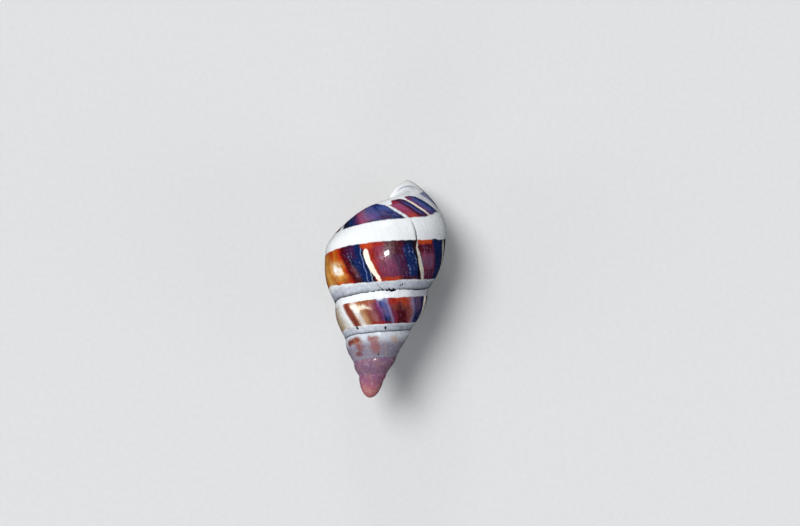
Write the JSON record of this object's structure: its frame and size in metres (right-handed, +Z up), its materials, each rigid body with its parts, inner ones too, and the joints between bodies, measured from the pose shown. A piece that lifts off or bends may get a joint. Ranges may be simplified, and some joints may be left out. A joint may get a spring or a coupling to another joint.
{
  "type": "banded tree snail",
  "caption": "Life-size still model of a banded tree snail at rest: tall spiral shell with coloured bands over a low soft foot and a drawn-in head.",
  "frame": {"origin": "under the middle of the bounding box, on the plane that the sole of the foot rests on", "axes": "+Z up, +Y from the shell's apex towards the head, +X towards the side that the outer lip of the shell is on"},
  "size_m": [0.0274, 0.0504, 0.0277],
  "materials": {
    "shell": "glossy porcelain-like shell, banded white, maroon and navy",
    "shell_tip": "glossy pink shell tip",
    "flesh": "moist soft skin with fine grains",
    "eye": "glossy black"
  },
  "bodies": {
    "root": {"shell_lip": "shell", "shell_body_whorl": "shell", "shell_whorl_2": "shell", "shell_whorl_3": "shell", "shell_whorl_4": "shell", "shell_whorl_5": "shell", "shell_apex": "shell_tip", "mantle": "flesh", "foot": "flesh", "tail": "flesh", "neck": "flesh", "head": "flesh", "mouth": "flesh", "tentacle_upper_left": "flesh", "tentacle_upper_right": "flesh", "tentacle_lower_left": "flesh", "tentacle_lower_right": "flesh", "eye_left": "eye", "eye_right": "eye"}
  },
  "joints": []
}
